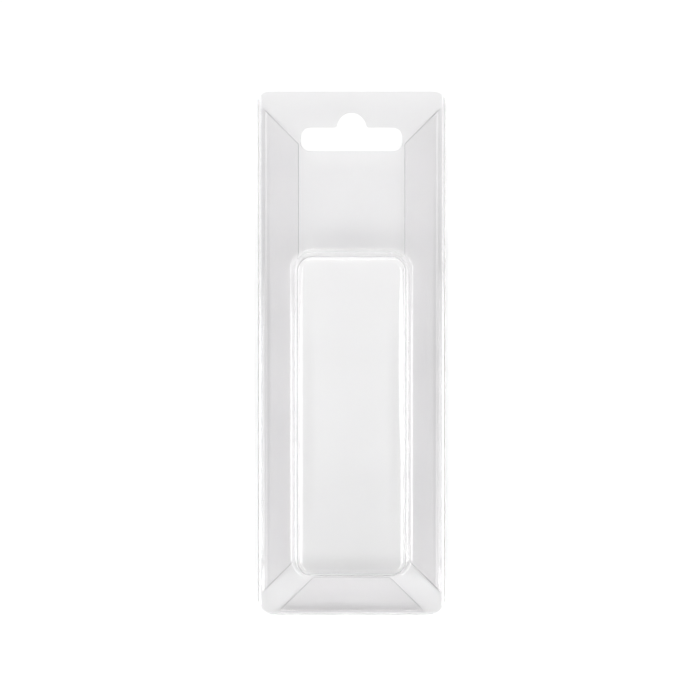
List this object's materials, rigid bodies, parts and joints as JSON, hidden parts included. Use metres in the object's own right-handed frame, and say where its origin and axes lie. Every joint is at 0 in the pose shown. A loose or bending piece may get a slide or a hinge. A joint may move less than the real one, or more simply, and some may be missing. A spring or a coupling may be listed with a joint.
{
  "type": "blister tray",
  "caption": "Clear plastic slide blister: thin sheet with a raised rounded pocket, a peg hang slot, and mitred back flanges that hold a card.",
  "frame": {"origin": "centre of the overall box in plan, at the plane the folded edges lie on", "axes": "+X across the sheet, +Y along it towards the hang slot, +Z out of the front, the way the pocket is raised"},
  "size_m": [0.059, 0.165, 0.0182],
  "materials": {
    "clear_sheet": "clear, smooth and glossy, with slight forming ripples"
  },
  "bodies": {
    "root": {"blister_tray": "clear_sheet"}
  },
  "joints": []
}
